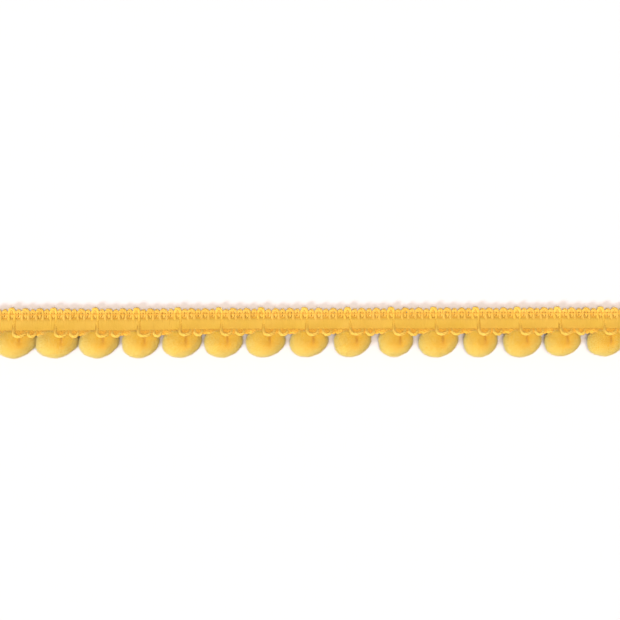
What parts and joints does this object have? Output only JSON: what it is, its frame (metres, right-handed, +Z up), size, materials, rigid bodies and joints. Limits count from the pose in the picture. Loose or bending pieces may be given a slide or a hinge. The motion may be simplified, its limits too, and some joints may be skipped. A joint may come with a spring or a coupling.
{
  "type": "pompom fringe trim",
  "caption": "Narrow knitted heading with picot loops along one edge and a row of small cut-yarn pompoms hung on loops along the other, for sewing to an edge.",
  "frame": {"origin": "on the surface the trim lies on, at the middle of its length and of its overall width", "axes": "+X along the trim, +Y from the pompoms towards the picot edge, +Z up from the surface, out of the trim's face"},
  "size_m": [0.16, 0.0125, 0.0065],
  "materials": {
    "heading_yarn": "matt dyed polyester yarn, knitted into a narrow band",
    "hanger_yarn": "matt dyed polyester yarn, one thick two-ply strand",
    "pompom_yarn": "soft cut acrylic yarn, brushed out to a dense matt pile"
  },
  "bodies": {
    "root": {"heading": "heading_yarn", "hanger_01": "hanger_yarn", "hanger_02": "hanger_yarn", "hanger_03": "hanger_yarn", "hanger_04": "hanger_yarn", "hanger_05": "hanger_yarn", "hanger_06": "hanger_yarn", "hanger_07": "hanger_yarn", "hanger_08": "hanger_yarn", "hanger_09": "hanger_yarn", "hanger_10": "hanger_yarn", "hanger_11": "hanger_yarn", "hanger_12": "hanger_yarn", "hanger_13": "hanger_yarn", "hanger_14": "hanger_yarn", "hanger_15": "hanger_yarn", "pompom_01": "pompom_yarn", "pompom_02": "pompom_yarn", "pompom_03": "pompom_yarn", "pompom_04": "pompom_yarn", "pompom_05": "pompom_yarn", "pompom_06": "pompom_yarn", "pompom_07": "pompom_yarn", "pompom_08": "pompom_yarn", "pompom_09": "pompom_yarn", "pompom_10": "pompom_yarn", "pompom_11": "pompom_yarn", "pompom_12": "pompom_yarn", "pompom_13": "pompom_yarn", "pompom_14": "pompom_yarn", "pompom_15": "pompom_yarn"}
  },
  "joints": []
}
